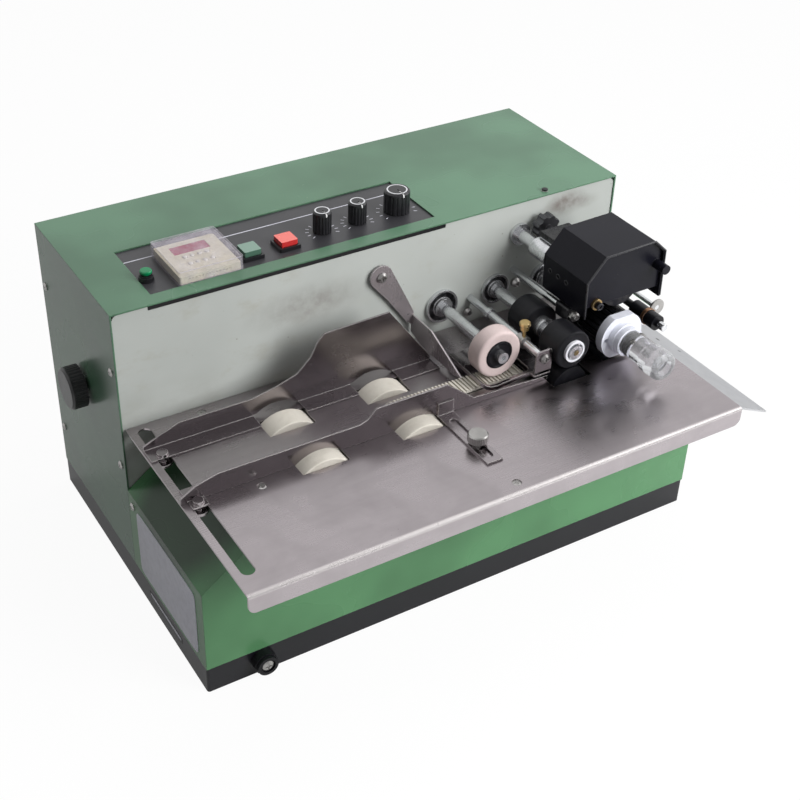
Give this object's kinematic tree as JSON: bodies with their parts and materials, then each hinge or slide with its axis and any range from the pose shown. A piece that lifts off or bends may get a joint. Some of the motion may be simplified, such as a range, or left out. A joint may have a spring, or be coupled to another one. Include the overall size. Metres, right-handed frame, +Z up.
{
  "type": "manual date coding machine",
  "caption": "Bench machine that feeds cards one by one under a hot ink printing drum, with adjustable guides, a counter and a hinged ink head.",
  "frame": {"origin": "middle of the base tray's footprint, on the plane the machine stands on", "axes": "+X the way the cards travel, +Y to the back of the cabinet, +Z up"},
  "size_m": [0.4487, 0.3431, 0.2598],
  "materials": {
    "green_paint": "satin",
    "grey_paint": "satin",
    "black_paint": "satin",
    "stainless": "brushed",
    "steel": "satin",
    "chrome": "polished",
    "zinc_sheet": "matte",
    "motor_grey": "painted",
    "rubber": "matte",
    "cream_rubber": "matte",
    "pink_rubber": "matte",
    "black_plastic": "matte",
    "cream_plastic": "satin",
    "white_plastic": "gloss",
    "green_button": "gloss",
    "grey_green_button": "gloss",
    "red_button": "gloss",
    "red_window": "gloss",
    "clear_plastic": "clear",
    "circuit": "matte",
    "ink": "matte"
  },
  "bodies": {
    "cabinet": {"base_tray": "black_paint", "front_bumper": "rubber", "lower_box": "green_paint", "cabinet_cover": "green_paint", "back_panel": "green_paint", "front_panel": "grey_paint", "work_table": "stainless", "delivery_chute": "zinc_sheet", "control_panel": "black_plastic", "counter_body": "cream_plastic", "counter_window": "red_window", "counter_keypad": "cream_rubber", "switch_bezels": "black_plastic", "power_inlet": "black_plastic", "flange_bearings": "chrome", "panel_rods": "chrome", "guide_plate": "stainless", "gear_motor": "motor_grey", "control_board": "circuit", "timing_belts": "rubber", "feed_belt": "cream_rubber", "shaft_bracket": "steel", "screws": "steel"},
    "zero_button": {"zero_button": "green_button"},
    "start_button": {"start_button": "grey_green_button"},
    "stop_button": {"stop_button": "red_button"},
    "speed_knob": {"speed_knob": "black_plastic"},
    "heat_knob": {"heat_knob": "black_plastic"},
    "delay_knob": {"delay_knob": "black_plastic"},
    "counter_cover": {"counter_cover": "clear_plastic"},
    "handwheel": {"handwheel": "black_plastic"},
    "output_pulley": {"output_pulley": "steel"},
    "rear_guide": {"rear_guide": "stainless"},
    "front_guide": {"front_guide": "stainless", "slotted_arm": "stainless"},
    "thumb_screw": {"thumb_screw": "chrome"},
    "gate": {"gate_plate": "stainless"},
    "feed_left": {"feed_shaft_left": "steel", "feed_wheels_left": "cream_rubber"},
    "feed_right": {"feed_shaft_right": "steel", "feed_wheels_right": "cream_rubber"},
    "idler": {"idler_pulley": "steel"},
    "separator": {"sep_tyre": "pink_rubber", "sep_hub": "black_plastic", "sep_shaft": "chrome"},
    "pinch": {"pinch_shaft": "chrome", "pinch_rollers": "rubber"},
    "transport": {"transport_roller": "rubber"},
    "print_unit": {"print_shaft": "steel", "print_drum": "black_paint", "drum_flange": "white_plastic", "drum_knob": "clear_plastic"},
    "backing": {"backing_roller": "rubber"},
    "ink_head": {"ink_cover": "black_paint", "ink_frame": "zinc_sheet", "ink_plate": "black_paint"},
    "ink_roller": {"ink_roller": "ink"},
    "star_knob": {"star_knob": "chrome"},
    "exit_roller": {"exit_roller": "black_plastic"}
  },
  "joints": [
    {"name": "zero_press", "type": "slide", "parent": "cabinet", "child": "zero_button", "axis": [0, 0, -1], "range_m": [0, 0.001], "stiffness_N_per_m": 500, "springref_m": -0.001},
    {"name": "start_press", "type": "slide", "parent": "cabinet", "child": "start_button", "axis": [0, 0, -1], "range_m": [0, 0.002], "stiffness_N_per_m": 600, "springref_m": -0.001},
    {"name": "stop_press", "type": "slide", "parent": "cabinet", "child": "stop_button", "axis": [0, 0, -1], "range_m": [0, 0.002], "stiffness_N_per_m": 600, "springref_m": -0.001},
    {"name": "speed_turn", "type": "hinge", "parent": "cabinet", "child": "speed_knob", "pos_m": [-0.033, 0.025, 0.2418], "axis": [0, 0, -1], "range_deg": [-150, 150]},
    {"name": "heat_turn", "type": "hinge", "parent": "cabinet", "child": "heat_knob", "pos_m": [-0.003, 0.025, 0.2418], "axis": [0, 0, -1], "range_deg": [-150, 150]},
    {"name": "delay_turn", "type": "hinge", "parent": "cabinet", "child": "delay_knob", "pos_m": [0.032, 0.026, 0.2418], "axis": [0, 0, -1], "range_deg": [-150, 150]},
    {"name": "counter_lid", "type": "hinge", "parent": "cabinet", "child": "counter_cover", "pos_m": [-0.133, 0.053, 0.243], "axis": [-1, 0, 0], "range_deg": [0, 95]},
    {"name": "feed_right_turn", "type": "hinge", "parent": "cabinet", "child": "feed_right", "pos_m": [-0.028, -0.059, 0.126], "axis": [0, 1, 0], "continuous": true},
    {"name": "feed_left_turn", "type": "hinge", "parent": "cabinet", "child": "feed_left", "pos_m": [-0.108, -0.059, 0.126], "axis": [0, 1, 0], "continuous": true},
    {"name": "handwheel_turn", "type": "hinge", "parent": "cabinet", "child": "handwheel", "pos_m": [-0.223, 0.0625, 0.1432], "axis": [-1, 0, 0], "continuous": true},
    {"name": "output_turn", "type": "hinge", "parent": "cabinet", "child": "output_pulley", "pos_m": [-0.165, 0.011, 0.1432], "axis": [0, 1, 0], "continuous": true},
    {"name": "idler_turn", "type": "hinge", "parent": "cabinet", "child": "idler", "pos_m": [0.07, -0.059, 0.14], "axis": [0, 1, 0], "continuous": true},
    {"name": "transport_turn", "type": "hinge", "parent": "cabinet", "child": "transport", "pos_m": [0.1034, -0.059, 0.1393], "axis": [0, 1, 0], "continuous": true},
    {"name": "pinch_turn", "type": "hinge", "parent": "cabinet", "child": "pinch", "pos_m": [0.1034, -0.059, 0.1713], "axis": [0, 1, 0], "continuous": true},
    {"name": "backing_turn", "type": "hinge", "parent": "cabinet", "child": "backing", "pos_m": [0.151, -0.059, 0.1395], "axis": [0, 1, 0], "continuous": true},
    {"name": "print_turn", "type": "hinge", "parent": "cabinet", "child": "print_unit", "pos_m": [0.151, -0.059, 0.168], "axis": [0, 1, 0], "continuous": true},
    {"name": "exit_turn", "type": "hinge", "parent": "cabinet", "child": "exit_roller", "pos_m": [0.19, -0.059, 0.165], "axis": [0, 1, 0], "continuous": true},
    {"name": "separator_turn", "type": "hinge", "parent": "cabinet", "child": "separator", "pos_m": [0.0533, -0.059, 0.17], "axis": [0, 1, 0], "continuous": true},
    {"name": "ink_head_lift", "type": "hinge", "parent": "cabinet", "child": "ink_head", "pos_m": [0.1235, -0.069, 0.2148], "axis": [0, -1, 0], "range_deg": [0, 70]},
    {"name": "ink_roller_turn", "type": "hinge", "parent": "ink_head", "child": "ink_roller", "pos_m": [0.157, -0.078, 0.2036], "axis": [0, 1, 0], "continuous": true},
    {"name": "star_turn", "type": "hinge", "parent": "ink_head", "child": "star_knob", "pos_m": [0.142, -0.018, 0.2205], "axis": [0, 1, 0], "range_deg": [-170, 170]},
    {"name": "rear_guide_slide", "type": "slide", "parent": "cabinet", "child": "rear_guide", "axis": [0, 1, 0], "range_m": [-0.012, 0.02]},
    {"name": "front_guide_slide", "type": "slide", "parent": "cabinet", "child": "front_guide", "axis": [0, 1, 0], "range_m": [-0.025, 0.01]},
    {"name": "thumb_turn", "type": "hinge", "parent": "cabinet", "child": "thumb_screw", "pos_m": [-0.0045, -0.147, 0.15], "axis": [0, 0, 1], "range_deg": [-170, 170]},
    {"name": "gate_tilt", "type": "hinge", "parent": "cabinet", "child": "gate", "pos_m": [-0.0034, -0.012, 0.213], "axis": [0, -1, 0], "range_deg": [0, 5]}
  ],
  "couplings": [
    {"joint": "feed_left_turn", "follows": "feed_right_turn", "ratio": 1},
    {"joint": "handwheel_turn", "follows": "feed_right_turn", "ratio": 1.7},
    {"joint": "output_turn", "follows": "feed_right_turn", "ratio": 1.7},
    {"joint": "idler_turn", "follows": "feed_right_turn", "ratio": 3.0588},
    {"joint": "transport_turn", "follows": "feed_right_turn", "ratio": 1.8889},
    {"joint": "pinch_turn", "follows": "feed_right_turn", "ratio": -1.9498},
    {"joint": "backing_turn", "follows": "feed_right_turn", "ratio": 2.8783},
    {"joint": "print_turn", "follows": "feed_right_turn", "ratio": -1.727},
    {"joint": "exit_turn", "follows": "feed_right_turn", "ratio": -4.7972}
  ]
}
